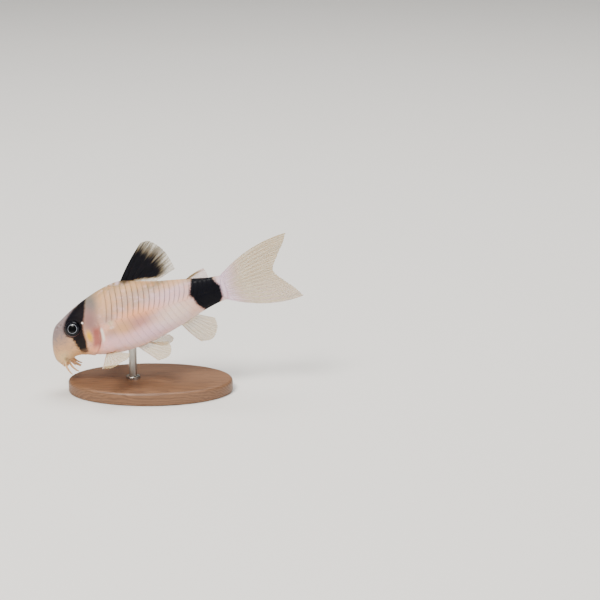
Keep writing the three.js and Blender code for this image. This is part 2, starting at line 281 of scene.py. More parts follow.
class Value:
    """A socket of a material's nodes, with arithmetic that adds the Math nodes it needs."""

    def __init__(self, graph, socket):
        self.graph = graph
        self.socket = socket

    def out(self, name):
        """Another output of the same node."""
        return Value(self.graph, self.socket.node.outputs[name])

    def math(self, operation, first, second):
        return self.graph.node("ShaderNodeMath", {"operation": operation}, [first, second])

    def __add__(self, other):
        return self.math("ADD", self, other)

    def __radd__(self, other):
        return self.math("ADD", other, self)

    def __sub__(self, other):
        return self.math("SUBTRACT", self, other)

    def __rsub__(self, other):
        return self.math("SUBTRACT", other, self)

    def __mul__(self, other):
        return self.math("MULTIPLY", self, other)

    def __rmul__(self, other):
        return self.math("MULTIPLY", other, self)

    def __truediv__(self, other):
        return self.math("DIVIDE", self, other)

    def __pow__(self, other):
        return self.math("POWER", self, other)

    def __abs__(self):
        return self.graph.node("ShaderNodeMath", {"operation": "ABSOLUTE"}, [self])

    def most(self, other):
        return self.math("MAXIMUM", self, other)

    def modulo(self, other):
        return self.math("FLOORED_MODULO", self, other)


class Graph:
    """A new material and its nodes."""

    def __init__(self, name):
        self.material = bpy.data.materials.new(name)
        self.material.use_nodes = True
        self.tree = self.material.node_tree
        self.tree.nodes.clear()

    def node(self, kind, settings=None, inputs=None, output=0):
        """Adds a node of that kind: its settings first, then its sockets, by place, name or identifier."""
        node = self.tree.nodes.new(kind)
        for key, value in (settings or {}).items():
            setattr(node, key, value)
        given = inputs.items() if isinstance(inputs, dict) else enumerate(inputs or [])
        for key, value in given:
            self.feed(self.socket_of(node.inputs, key), value)
        return Value(self, self.socket_of(node.outputs, output))

    def socket_of(self, sockets, key):
        if isinstance(key, int):
            return sockets[key]
        for socket in sockets:
            if socket.identifier == key or (socket.name == key and socket.enabled):
                return socket
        raise KeyError(key)

    def feed(self, socket, value):
        if isinstance(value, Value):
            self.tree.links.new(value.socket, socket)
        elif socket.type == "RGBA":
            socket.default_value = (*value[:3], 1)
        else:
            socket.default_value = value

    def mix(self, first, second, factor):
        """A colour between two."""
        sockets = {"Factor_Float": factor, "A_Color": first, "B_Color": second}
        return self.node("ShaderNodeMix", {"data_type": "RGBA"}, sockets, "Result_Color")

    def step(self, low, high, value):
        """0 at low and 1 at high, eased; low may be the greater."""
        sockets = {"Value": value, "From Min": low, "From Max": high}
        return self.node("ShaderNodeMapRange", {"interpolation_type": "SMOOTHSTEP"}, sockets)

    def line(self, value, *pairs):
        """A value joined by straight lines through (x, value) pairs, flat beyond the ends."""
        total = pairs[0][1]
        for (x0, v0), (x1, v1) in zip(pairs, pairs[1:]):
            sockets = {"Value": value, "From Min": x0, "From Max": x1, "To Min": 0.0, "To Max": v1 - v0}
            total = total + self.node("ShaderNodeMapRange", {"clamp": True}, sockets)
        return total

    def scaled(self, vector, factors):
        """A vector stretched by three factors."""
        return self.node("ShaderNodeVectorMath", {"operation": "MULTIPLY"}, [vector, factors])

    def noise(self, vector, scale, detail=3.0):
        """Noise from 0 to 1 with scale bumps to a unit of the vector."""
        return self.node("ShaderNodeTexNoise", {}, {"Vector": vector, "Scale": scale, "Detail": detail})

    def position(self):
        """The point shaded, in millimetres in the row frame."""
        point = self.node("ShaderNodeTexCoord", output="Object")
        return self.scaled(point, (1 / MM,) * 3)

    def split(self, vector):
        x = self.node("ShaderNodeSeparateXYZ", {}, [vector], "X")
        return x, x.out("Y"), x.out("Z")

    def uv(self, name):
        pair = self.node("ShaderNodeUVMap", {"uv_map": name})
        return self.split(pair)[:2]

    def fish(self, point):
        """The s and z of the fish's frame at a point of the row frame."""
        x, _, height = self.split(point)
        x = x - SNOUT_X
        height = height - AXIS_HEIGHT
        s = x * math.cos(PITCH) + height * math.sin(PITCH)
        z = height * math.cos(PITCH) - x * math.sin(PITCH)
        return s, z

    def finish(self, sockets, bump_height=None, bump_distance=0.0):
        """Ends the material with one Principled shader."""
        if bump_height is not None:
            heights = {"Height": bump_height, "Distance": bump_distance, "Strength": 1.0}
            sockets = {**sockets, "Normal": self.node("ShaderNodeBump", {}, heights)}
        shader = self.node("ShaderNodeBsdfPrincipled", {}, sockets)
        self.node_output(shader)
        return self.material

    def node_output(self, shader):
        output = self.tree.nodes.new("ShaderNodeOutputMaterial")
        self.tree.links.new(shader.socket, output.inputs["Surface"])


def tone(code):
    """A colour from six hex digits, made linear."""
    shares = [int(code[i:i + 2], 16) / 255 for i in (0, 2, 4)]
    return tuple(c / 12.92 if c <= 0.04045 else ((c + 0.055) / 1.055) ** 2.4 for c in shares)


def spot(g, s, z, centre, radii, softness=0.5):
    """1 inside an oval spot of the fish's side, fading at its rim."""
    across = (s - centre[0]) / radii[0]
    up = (z - centre[1]) / radii[1]
    return g.step(1 + softness, 1 - softness, (across * across + up * up) ** 0.5)


def body_paint(g, point, colours):
    """The markings of skin and plates with two painted highlights, how black they are, and two noises that
    vary them.
    """
    s, z = g.fish(point)
    wander = g.noise(point, 0.55, 4.0)
    feather = g.noise(point, 3.2, 4.0)
    cloud = g.noise(g.scaled(point, (1, 1, 1.6)), 0.28, 3.0)
    top = g.line(s, (0, 2.3), (4, 4.0), (9, 6.1), (15, 7.3), (22, 5.4), (34, 2.5))
    bottom = g.line(s, (0, -5.2), (15, -5.6), (22, -4.8), (34, -2.3))
    height = (z - bottom) / (top - bottom) + (cloud - 0.5) * 0.18

    paint = g.mix(colours.belly, colours.lower_flank, g.step(0.05, 0.24, height))
    paint = g.mix(paint, colours.flank, g.step(0.26, 0.48, height))
    paint = g.mix(paint, colours.upper_flank, g.step(0.5, 0.74, height))
    paint = g.mix(paint, colours.back, g.step(0.8, 0.99, height))
    forward = g.step(9.5, 5.0, s)
    mottle = g.noise(g.scaled(point, (1, 1, 1.5)), 1.5, 5.0)
    paint = g.mix(paint, colours.snout, forward * 0.85)
    crown = g.line(height + (mottle - 0.5) * 0.35, (0.34, 0.0), (0.56, 0.35), (0.76, 0.9), (1.0, 1.0))
    paint = g.mix(paint, colours.crown, crown * g.step(8.5, 5.5, s) * 0.9)
    paint = g.mix(paint, colours.haze, g.step(0.5, 0.72, mottle) * g.step(16.0, 8.0, s) * 0.32)
    shimmer = g.noise(g.scaled(point, (1, 1, 1.5)), 0.8, 2.0)
    rearward = g.step(9.5, 12.5, s)
    paint = g.mix(paint, colours.peach, g.step(0.52, 0.7, shimmer) * rearward * 0.4)
    paint = g.mix(paint, colours.lilac, g.step(0.48, 0.3, shimmer) * rearward * 0.4)
    for colour, centre, radii, share in TINTS:
        paint = g.mix(paint, getattr(colours, colour), spot(g, s, z, centre, radii, 0.8) * share)
    paint = g.mix(paint, colours.lilac_white, spot(g, s, z, (34.4, 0.2), (1.4, 2.8), 0.6) * 0.9)

    gill = abs(s - g.line(z, *GILL_FLUSH)) + (feather - 0.5) * 0.5
    gill_window = g.step(-3.2, -1.5, z) * g.step(1.9, 0.5, z)
    paint = g.mix(paint, colours.gill, g.step(1.7, 0.2, gill) * gill_window * 0.85)
    edge = abs(s - g.line(z, *GILL_EDGE))
    edge_window = g.step(-2.5, -1.0, z) * g.step(1.2, 0.3, z)
    paint = g.mix(paint, colours.white, g.step(0.45, 0.05, edge) * edge_window)
    paint = g.mix(paint, colours.nape_pale, spot(g, s, z, (12.65, 1.15), (0.5, 0.4), 0.9) * 0.55)
    paint = g.mix(paint, colours.white, spot(g, s, z, (12.6, 0.35), (0.45, 0.22), 0.9) * feather * 0.9)
    gold = spot(g, s, z + (feather - 0.5) * 0.6, (8.0, -0.1), (0.5, 0.95), 0.75)
    paint = g.mix(paint, colours.gold, gold)
    # Painted highlight: a small lilac-white spot on the top of the back, in front of the dorsal fin.
    paint = g.mix(paint, colours.lilac_white, spot(g, s, z, (15.7, 7.3), (0.4, 0.24), 0.8) * 0.5)
    paint = g.mix(paint, colours.plate_edge, spot(g, s, z, (2.05, -3.35), (0.3, 0.35), 0.9) * 0.45)

    ragged = (wander - 0.5) * 0.9 + (feather - 0.5) * 0.8
    fray = ragged * g.line(z, (0.0, 1.5), (2.0, 0.6))
    mask_start = g.step(-0.75, 0.15, s - g.line(z, *MASK_FRONT) + fray)
    mask_end = g.step(-0.6, 0.1, g.line(z, *MASK_REAR) - s + ragged * 0.4)
    mask_low = g.step(-3.3, -2.8, z + ragged * 0.7) * g.line(z, (-3.0, 0.7), (-1.9, 1.0))
    mask = mask_start * mask_end * mask_low
    blotch_start = g.step(-0.3, 0.4, s - g.line(z, *TAIL_SPOT_FRONT) + ragged * 0.8)
    blotch_end = g.step(-0.3, 0.4, g.line(z, *TAIL_SPOT_REAR) - s + ragged * 0.6)
    blotch = blotch_start * blotch_end
    saddle = spot(g, s, z, (17.4, 7.2), (1.2, 0.5), 0.5) * 0.7
    dark = (mask * 0.985).most(blotch).most(saddle)
    paint = g.mix(paint, colours.black, dark)
    # Painted highlight: a small white glint just behind the eye, laid over the black mask.
    paint = g.mix(paint, colours.white, spot(g, s, z, (7.46, 2.59), (0.2, 0.2), 0.3))
    return paint, dark, feather, wander


def skin_material(colours):
    g = Graph("fish_skin")
    point = g.position()
    paint, dark, feather, wander = body_paint(g, point, colours)
    pores = g.noise(point, 14.0, 2.0)
    freckle = g.step(0.62, 0.72, g.noise(point, 6.5, 2.0)) * 0.22
    paint = g.mix(paint, colours.plate_edge, freckle * (1 - dark))
    return g.finish({
        "Base Color": paint,
        "Roughness": 0.34 + 0.14 * wander,
        **FLESH,
    }, pores * 0.6 + feather * 0.8, 0.00004)


def plate_material(colours):
    g = Graph("fish_plates")
    point = g.position()
    paint, dark, feather, wander = body_paint(g, point, colours)
    across = g.node("ShaderNodeAttribute", {"attribute_name": "plate_rim"}, output="Fac")
    down = g.node("ShaderNodeAttribute", {"attribute_name": "plate_down"}, output="Fac")
    ragged = (feather - 0.5) * 0.12
    rim = g.step(0.80, 0.94, across + ragged)
    strength = g.line(
        down, (0.0, 0.1), (0.16, 0.3), (0.27, 0.9), (0.48, 1.0), (0.54, 0.4), (0.6, 0.12), (1.0, 0.03),
    )
    s, _ = g.fish(point)
    strength = strength * g.line(s, (12.0, 0.5), (14.5, 1.0), (20, 0.75), (28, 0.4))
    paint = g.mix(paint, colours.plate_edge, rim * strength * (0.36 + 0.75 * wander) * (1 - dark))
    # Painted highlight: a faint white sheen across the middle of each upper-row plate, kept off the black
    # markings.
    painted_sheen = g.step(0.1, 0.5, across) * g.step(0.85, 0.6, across) * g.step(0.6, 0.5, down)
    paint = g.mix(paint, colours.white, painted_sheen * 0.06 * (1 - dark))
    return g.finish({
        "Base Color": paint,
        "Roughness": 0.30 + 0.16 * wander + 0.25 * dark,
        **FLESH,
    }, g.noise(point, 9.0, 3.0), 0.00003)


def eye_material(colours):
    g = Graph("fish_eye")
    round_eye, out = g.uv("iris")
    grain = g.noise(g.position(), 9.0, 3.0)
    paint = g.mix(colours.pupil, colours.silver, g.step(0.515, 0.53, out))
    paint = g.mix(paint, colours.iris, g.step(0.545, 0.565, out + (grain - 0.5) * 0.04))
    fleck = g.step(0.55, 0.75, grain) * g.step(0.6, 0.7, out)
    paint = g.mix(paint, colours.iris_fleck, fleck * 0.5)
    # Painted highlight: a lighter dusky-pink arc along the lower rim of the eyeball.
    lower = g.step(0.2, 0.9, 0 - g.node("ShaderNodeMath", {"operation": "SINE"}, [round_eye * math.tau]))
    paint = g.mix(paint, colours.gill_shade, g.step(0.86, 0.92, out) * lower * 0.6)
    return g.finish({
        "Base Color": paint,
        "Roughness": 0.3 + 0.1 * grain,
        "Specular IOR Level": 0.05,
        "Coat Weight": 0.3,
        "Coat Roughness": 0.04,
    })


def ray_width(rays):
    """A ray's width as a share of the gap between rays."""
    return 0.045 + 0.003 * rays


def fin_material(name, colours, rays, look):
    """A fin's membrane and rays. look(g, across, along, ray, streak) gives its colour and alpha."""
    g = Graph(name)
    across, along = g.uv("rays")
    offset = abs((across * (rays - 1) + 0.5).modulo(1.0) - 0.5)
    spread = 0.23 * g.step(0.35, 0.9, along)
    width = ray_width(rays)
    ray = g.step(1.35 * width, 0.45 * width, abs(offset - spread))
    pair = g.node("ShaderNodeCombineXYZ", {}, [across * (rays * 3.0), along * 1.6, 0.0])
    streak = g.noise(pair, 1.0, 3.0)
    joints = g.step(0.2, 0.0, (along * 26).modulo(1.0)) * g.step(0.25, 0.4, along)
    paint, alpha = look(g, across, along, ray, streak)
    paint = g.mix(paint, colours.plate_edge, joints * ray * 0.25)
    return g.finish({
        "Base Color": paint,
        "Roughness": 0.35 + 0.15 * streak,
        "Alpha": alpha,
        "Specular IOR Level": 0.12,
        "Subsurface Weight": 0.25,
        "Subsurface Radius": (1.0, 0.8, 0.6),
        "Subsurface Scale": 0.0004,
    }, ray, 0.00002)


def dorsal_look(colours):
    def look(g, across, along, ray, streak):
        ragged = (streak - 0.5) * 0.5
        low = g.line(across, (0, -0.06), (0.35, 0.06), (0.7, 0.2), (1, 0.4))
        high = g.line(across, (0, 1.0), (0.3, 0.9), (0.7, 0.84), (1, 0.72))
        above = g.step(-0.05, 0.1, along - low + ragged * 0.2)
        below = g.step(-0.2, 0.26, high - along + ragged * 1.1)
        dark = above * below * g.step(1.05, 0.8, across + ragged * 0.4)
        paint = g.mix(colours.fin, colours.fin_ray, ray)
        paint = g.mix(paint, colours.dusky, g.step(0.3, 0.7, along) * 0.75)
        paint = g.mix(paint, colours.black, dark)
        clear = 0.26 + 0.16 * ray
        return paint, clear + (0.97 - clear) * dark
    return look


def caudal_look(colours):
    def look(g, across, along, ray, streak):
        paint = g.mix(colours.fin, colours.fin_ray, ray * 0.8)
        lower = g.step(0.45, 0.95, across)
        paint = g.mix(paint, colours.pink_white, lower * ray * 0.8)
        root = g.step(0.42, 0.04, along + (streak - 0.5) * 0.2)
        paint = g.mix(paint, colours.lilac_white, root * 0.95)
        paint = g.mix(paint, colours.dusky, g.step(0.5, 0.75, streak) * 0.35)
        clear = 0.46 + 0.18 * ray
        return paint, clear + (0.98 - clear) * root
    return look


def pale_look(colours):
    def look(g, across, along, ray, streak):
        paint = g.mix(colours.fin, colours.fin_ray, ray * 0.6)
        spine = g.step(0.05, 0.01, across)
        paint = g.mix(paint, colours.pink_white, spine * 0.6)
        root = g.step(0.3, 0.0, along)
        clear = 0.3 + 0.16 * ray + 0.12 * streak + 0.3 * root
        return paint, clear + (0.95 - clear) * spine
    return look


def adipose_look(colours):
    def look(g, across, along, ray, streak):
        spine = g.step(0.30, 0.10, across)
        paint = g.mix(colours.pink_white, colours.back, spine * g.step(1.0, 0.6, along))
        return paint, 0.42 + 0.5 * spine
    return look


def wood_material(colours):
    g = Graph("stand_wood")
    point = g.position()
    warp = g.noise(g.scaled(point, (0.06, 0.35, 0.35)), 1.0, 3.0)
    _, y, z = g.split(point)
    distance = ((y + 14) * (y + 14) + (z + 9) * (z + 9)) ** 0.5
    rings = (distance * 1.7 + warp * 6.0).modulo(1.0)
    late = g.step(0.25, 0.9, rings) * g.step(1.0, 0.93, rings)
    fibre = g.noise(g.scaled(point, (0.35, 5.0, 5.0)), 1.0, 4.0)
    pores = g.step(0.66, 0.72, g.noise(g.scaled(point, (0.5, 9.0, 9.0)), 1.0, 2.0))
    paint = g.mix(colours.wood, colours.wood_late, late * 0.6)
    paint = g.mix(paint, colours.wood_dark, fibre * 0.35 + pores * 0.3)
    return g.finish({
        "Base Color": paint,
        "Roughness": 0.42 + 0.2 * fibre,
        "Coat Weight": 0.15,
        "Coat Roughness": 0.3,
    }, fibre * 0.5 - pores * 0.6, 0.00005)


def steel_material(colours):
    g = Graph("stand_steel")
    point = g.position()
    brushed = g.noise(g.scaled(point, (14.0, 14.0, 0.8)), 1.0, 3.0)
    paint = g.mix(colours.steel, colours.steel_dark, g.step(0.35, 0.7, brushed) * 0.5)
    return g.finish({
        "Base Color": paint,
        "Metallic": 1.0,
        "Roughness": 0.24 + 0.2 * brushed,
    }, brushed, 0.00001)


def stage_material(colours):
    g = Graph("stage_paper")
    point = g.position()
    cloud = g.noise(point, 0.01, 2.0)
    paint = g.mix(colours.stage, colours.stage_shade, cloud * 0.3)
    return g.finish({"Base Color": paint, "Roughness": 0.85})


# The fish's skin.


def relief(s, y, z, phi, eye_radius, bed):
    """How far the skin stands above or below the body's smooth form, in mm."""
    side = np.abs(y)
    fold = np.arcsin(np.sin(phi))
    height = np.full(s.shape, -0.03)
    plated = smooth(11.0, 12.0, s) * smooth(-1.36, -1.15, fold) * smooth(1.54, 1.46, fold)
    height -= bed * plated

    # The eye's socket, with a soft rim round the ball.
    axis = unit(EYE_AXIS)
    away = np.stack([s, side, z], axis=-1) - EYE_CENTRE
    along = away @ axis
    around = np.linalg.norm(away - along[..., None] * axis, axis=-1)
    near = along > -0.6
    height -= near * 0.22 * smooth(2.4, 1.6, around)
    height += near * 0.09 * bump(eye_radius + 0.12, 0.13, around)
    height -= near * 1.1 * smooth(eye_radius - 0.04, eye_radius - 0.3, around)

    # Nostrils: a tube in front and an open pit behind it on each side.
    upper = z > 0.5
    for s0, y0, rim in ((2.35, 1.35, 0.13), (3.1, 1.55, 0.06)):
        apart = np.hypot(s - s0, side - y0)
        height += upper * (rim * bump(0.28, 0.09, apart) - 0.30 * bump(0, 0.15, apart))

    # Mouth and lips under the snout.
    cleft = s - (1.1 + 0.35 * (z + 5.3))
    lips = smooth(-3.7, -4.2, z) * smooth(2.7, 2.1, s)
    rim = smooth(2.0, 1.5, s)
    height += rim * (0.09 * bump(-4.85, 0.28, z) - 0.07 * bump(-4.3, 0.13, z + 0.12 * side))
    lip = 0.12 * bump(-0.32, 0.2, cleft) + 0.16 * bump(0.32, 0.2, cleft) - 0.28 * bump(0, 0.1, cleft)
    height += lips * lip
    for s0, y0, z0 in ((1.6, 1.7, -3.75), (2.15, 1.1, -4.2), (2.75, 0.5, -4.1)):
        height += 0.22 * bump(0, 0.38, np.sqrt((s - s0) ** 2 + (side - y0) ** 2 + (z - z0) ** 2))

    # Gill cover with its free edge, and the bony girdle behind it.
    free_edge = 10.2 - 0.1 * (z - 0.8) ** 2
    window = smooth(-5.0, -4.2, z) * smooth(2.6, 1.6, z)
    past = s - free_edge
    height += window * 0.15 * smooth(-2.0, -0.25, past) * smooth(0.06, -0.03, past)
    height -= window * 0.20 * bump(0.14, 0.11, past)
    girdle = smooth(-4.9, -3.9, z) * smooth(1.5, 0.5, z)
    height += girdle * 0.08 * bump(10.75, 0.32, s - 0.02 * z * z)

    # Cheek plates, the grooved head shield and its point towards the dorsal fin.
    cheek = s - (7.2 + 0.3 * z)
    height -= 0.05 * bump(0, 0.12, cheek) * smooth(-4.4, -3.6, z) * smooth(-0.4, -1.2, z)
    height -= upper * 0.10 * bump(0, 0.16, y) * smooth(3.4, 4.6, s) * smooth(8.2, 6.8, s)
    brow = np.hypot((s - 4.3) / 2.6, (side - 2.0) / 0.5)
    height += 0.12 * (z > 2.2) * bump(0, 0.8, brow)
    furrow = smooth(1.0, 2.0, s) * smooth(5.4, 4.2, s) * (z > 1.0)
    height -= 0.07 * bump(0, 0.3, side - (0.9 + 0.16 * s)) * furrow
    snout_fold = s - (3.0 + 0.35 * (z + 1.5))
    height -= 0.05 * bump(0, 0.14, snout_fold) * smooth(-3.4, -2.6, z) * smooth(0.4, -0.4, z)
    shield = 2.2 - 0.36 * (s - 9.0)
    on_top = upper * smooth(8.6, 9.2, s) * smooth(15.0, 13.8, s)
    height -= on_top * 0.06 * bump(0, 0.12, side - np.maximum(shield, 0.5))
    crease = s - (10.4 - 0.08 * (z - 3.6) ** 2)
    height -= 0.04 * bump(0, 0.14, crease) * smooth(1.6, 2.6, z) * smooth(6.2, 5.2, z)
    return height


def bend_tube(start, middle, end, radius, steps=26, around=14):
    """Points of a tapered tube along a bent path, ring by ring, closed at the tip."""
    start, middle, end = (np.array(p, float) for p in (start, middle, end))
    t = np.linspace(0, 1, steps)[:, None]
    path = (1 - t) ** 2 * start + 2 * t * (1 - t) * middle + t * t * end
    heading = unit(2 * (1 - t) * (middle - start) + 2 * t * (end - middle))
    across = unit(np.cross(heading, [0.3, 1.0, 0.2]))
    up = np.cross(heading, across)
    turn = np.linspace(0, 2 * math.pi, around, endpoint=False)
    taper = radius * (1 - 0.55 * t) * np.sqrt(np.clip(1 - t ** 14, 0, 1)) * (1 + 0.05 * np.sin(t * 60))
    ring = across[:, None] * np.cos(turn)[None, :, None] + up[:, None] * np.sin(turn)[None, :, None]
    return path[:, None] + np.maximum(taper, 0.01)[:, None] * ring


def size_property(name, description, millimetres):
    """A length of the model, given in millimetres."""
    return FloatProperty(
        name=name, description=description, default=millimetres * MM, unit="LENGTH", precision=5,
    )


class CorySizes(bpy.types.PropertyGroup):
    """Sizes of the fish and its stand."""

    eye_radius: size_property("Eye Radius", "Radius of the eyeball as seen from the side", 1.55)
    plate_step: size_property("Plate Step", "How far a plate's free edge stands above the next plate", 0.07)
    upper_plates: IntProperty(
        name="Upper Plates", description="Plates of each side's upper row", default=24, min=1,
    )
    lower_plates: IntProperty(
        name="Lower Plates", description="Plates of each side's lower row", default=21, min=1,
    )
    barbel_radius: size_property("Barbel Radius", "Radius of a barbel at its root", 0.25)
    membrane: size_property("Fin Membrane", "Half the thickness of a fin between its rays", 0.03)
    ray: size_property("Fin Ray", "How far a ray stands out from the membrane at its root", 0.09)
    bevel: size_property("Base Bevel", "Rounding of the stand's rim", 0.6)


class CoryView(bpy.types.PropertyGroup):
    """The photograph's viewing angle."""

    aim: FloatVectorProperty(
        name="Aim", description="Point that the camera looks at",
        default=(0.0282, 0.0, 0.0177), subtype="XYZ", unit="LENGTH", precision=4,
    )
    elevation: FloatProperty(
        name="Elevation", description="How far the camera looks down",
        default=math.radians(16), subtype="ANGLE",
    )
    distance: FloatProperty(
        name="Distance", description="From the camera to the point it looks at",
        default=0.35, unit="LENGTH", precision=4,
    )
    lens: FloatProperty(
        name="Focal Length", description="Focal length in millimetres on a 36 mm sensor", default=112.5,
    )


def colour_property(name, description, code):
    """A colour of the fish or its stand, from six hex digits."""
    return FloatVectorProperty(
        name=name, description=description, default=tone(code), subtype="COLOR", size=3,
    )


class CoryColours(bpy.types.PropertyGroup):
    """Colours of the fish, its stand and the stage."""

    back: colour_property("Back", "Along the back", "957F5C")
    upper_flank: colour_property("Upper Flank", "Below the back", "C8A18C")
    flank: colour_property("Flank", "Middle of the flank", "F4BAA2")
    lower_flank: colour_property("Lower Flank", "Above the belly", "F6B298")
    belly: colour_property("Belly", "Underside", "F6CABC")
    snout: colour_property("Snout", "Snout and cheeks", "CE9F69")
    crown: colour_property("Crown", "Top of the snout and head", "7A7078")
    nape: colour_property("Nape", "Behind the eye mask", "DEA674")
    haze: colour_property("Haze", "Grey blue behind the top of the mask", "6C6A68")
    nape_pale: colour_property("Pale Nape", "Pale spot behind the gills, and the chin", "E2D0A2")
    mauve: colour_property("Mauve", "Dusky pink of the flank", "B47C78")
    lilac: colour_property("Lilac", "Cool tinge of the lower flank", "F4C4D0")
    peach: colour_property("Peach", "Warm tinge of the lower flank", "FAA878")
    gill: colour_property("Gill", "Flush of the gill cover", "984C46")
    gill_shade: colour_property("Gill Shade", "Dusky pink behind the mask", "8E6A66")
    gold: colour_property("Gold", "Gold spot on the cheek", "E0AC30")
    white: colour_property("White", "Bony edges and highlights", "FCE8DC")
    black: colour_property("Black", "Eye mask, tail spot and dorsal fin", "04040C")
    plate_edge: colour_property("Plate Edge", "Lines between the plates", "2E2624")
    fin: colour_property("Fin", "Clear fin membrane", "CBB285")
    fin_ray: colour_property("Fin Ray", "Rays of the clear fins", "B89D74")
    dusky: colour_property("Dusky", "Dusky tinge of the fins", "948A6E")
    pink_white: colour_property("Pink White", "Lower rays of the tail fin", "E6CCC6")
    lilac_white: colour_property("Lilac White", "Root of the tail fin", "F0D2E4")
    pupil: colour_property("Pupil", "Pupil of the eye", "020203")
    iris: colour_property("Iris", "Dark of the eye", "0B0B10")
    iris_fleck: colour_property("Iris Fleck", "Flecks in the dark of the eye", "2A2C3A")
    silver: colour_property("Silver", "Ring round the pupil", "9A9EA6")
    wood: colour_property("Wood", "Early wood of the stand", "8A6242")
    wood_late: colour_property("Late Wood", "Rings in the stand's wood", "5E3E28")
    wood_dark: colour_property("Wood Pores", "Fibres and pores of the wood", "3A2517")
    steel: colour_property("Steel", "Rod of the stand", "B9B7B0")
    steel_dark: colour_property("Steel Lines", "Brushed lines of the rod", "7E7C77")
    stage: colour_property("Stage", "Floor and backdrop", "E9E6E0")
    stage_shade: colour_property("Stage Shade", "Faint clouds in the floor", "DEDAD2")


class OBJECT_OT_cory_skin(bpy.types.Operator):
    """Builds the fish's one skin, with its barbels"""

    bl_idname = "object.cory_skin"
    bl_label = "Skin"
    bl_options = {"REGISTER", "UNDO"}

    def execute(self, context):
        sizes = context.scene.cory_sizes
        around = 288
        head = np.linspace(0, 1, 175) ** 1.8 * (10.4 - NOSE_START)
        trunk = np.linspace(10.53, 33.2, 150)
        tail = np.linspace(33.35, 34.55, 14)
        s = np.concatenate([NOSE_START + np.maximum(head, 1e-6), trunk, tail])[:, None]
        phi = (np.arange(around) + 0.5)[None, :] * (2 * math.pi / around)
        points = skin_point(s, phi)
        closing = np.where(s > SKIN_END, np.sqrt(np.clip(1 - ((s - SKIN_END) / 1.3) ** 2, 0, 1)), 1.0)
        points[..., 1] *= closing
        forward = np.gradient(points, axis=0)
        round_section = np.roll(points, -1, axis=1) - np.roll(points, 1, axis=1)
        normal = unit(np.cross(forward, round_section) + 1e-12)
        outwards = np.sign(np.einsum("ijk,ijk->ij", normal, points - points.mean(axis=1, keepdims=True)))
        normal *= np.where(outwards == 0, 1, outwards)[..., None]
        bed = sizes.plate_step / MM + 0.03
        grid_s, grid_phi = np.broadcast_arrays(s, phi)
        rise = relief(grid_s, points[..., 1], points[..., 2], grid_phi, sizes.eye_radius / MM, bed)
        rise = rise * smooth(NOSE_START, NOSE_START + 0.3, grid_s)
        rise = np.where(grid_s > SKIN_END, np.maximum(rise, -0.12 * closing), rise)
        points = points + normal * rise[..., None]
        rows, columns = points.shape[:2]
        vertices = [points.reshape(-1, 3)]
        faces = [grid_quads(rows, columns, wrap=True)]
        count = rows * columns
        barbels = []
        for kind, path in BARBEL_PATHS.items():
            for hand, side in ((-1, "left"), (1, "right")):
                barbels.append(f"barbel_{kind}_{side}")
                tube = bend_tube(*(np.array(p) * (1, hand, 1) for p in path), sizes.barbel_radius / MM)
                vertices.append(tube.reshape(-1, 3))
                faces.append(grid_quads(*tube.shape[:2], start=count, wrap=True))
                count += len(vertices[-1])
        vertices = np.concatenate(vertices)
        quads = np.concatenate([outward(vertices, f) for f in faces])
        caps = [list(range(columns)), list(range((rows - 1) * columns, rows * columns))[::-1]]
        make_piece(
            "fish_skin", place(vertices), [*quads, *caps], skin_material(context.scene.cory_colours),
            "skin", ["head", "trunk", "caudal_peduncle", *barbels],
        )
        return {"FINISHED"}


